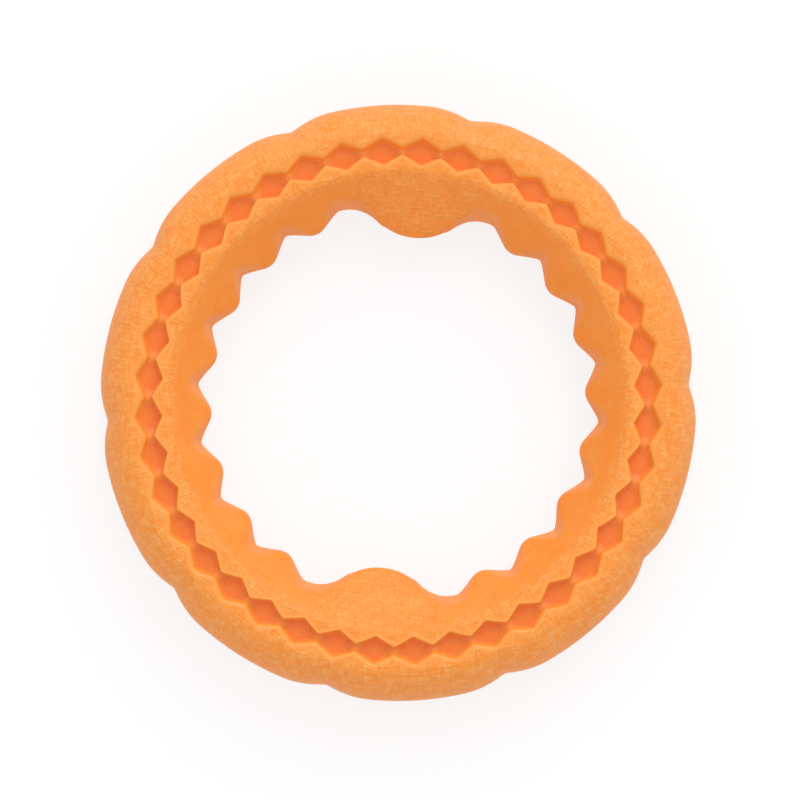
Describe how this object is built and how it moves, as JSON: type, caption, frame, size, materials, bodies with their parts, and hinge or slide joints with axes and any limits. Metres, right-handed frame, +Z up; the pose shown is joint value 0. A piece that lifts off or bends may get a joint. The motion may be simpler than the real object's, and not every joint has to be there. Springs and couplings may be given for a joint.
{
  "type": "rubber chew toy",
  "caption": "Ring-shaped dog toy to fetch, tug and chew: a lobed outer tread and a toothed inner tread with grip pads, bonded over a foam core that shows in a zigzag groove.",
  "frame": {"origin": "centre of the lower face, on the ring's axis", "axes": "+Z up along the ring's axis, out of the upper face; +Y out through the middle of one grip pad"},
  "size_m": [0.2, 0.2, 0.03],
  "materials": {
    "core_foam": "smooth matt closed-cell foam, redder orange",
    "outer_skin": "matt foamed rubber with a fine woven texture, orange",
    "inner_skin": "matt foamed rubber, smooth on the teeth and finely woven on the pads and the face, orange"
  },
  "bodies": {
    "root": {"core_ring": "core_foam", "outer_tread": "outer_skin", "inner_tread": "inner_skin"}
  },
  "joints": []
}
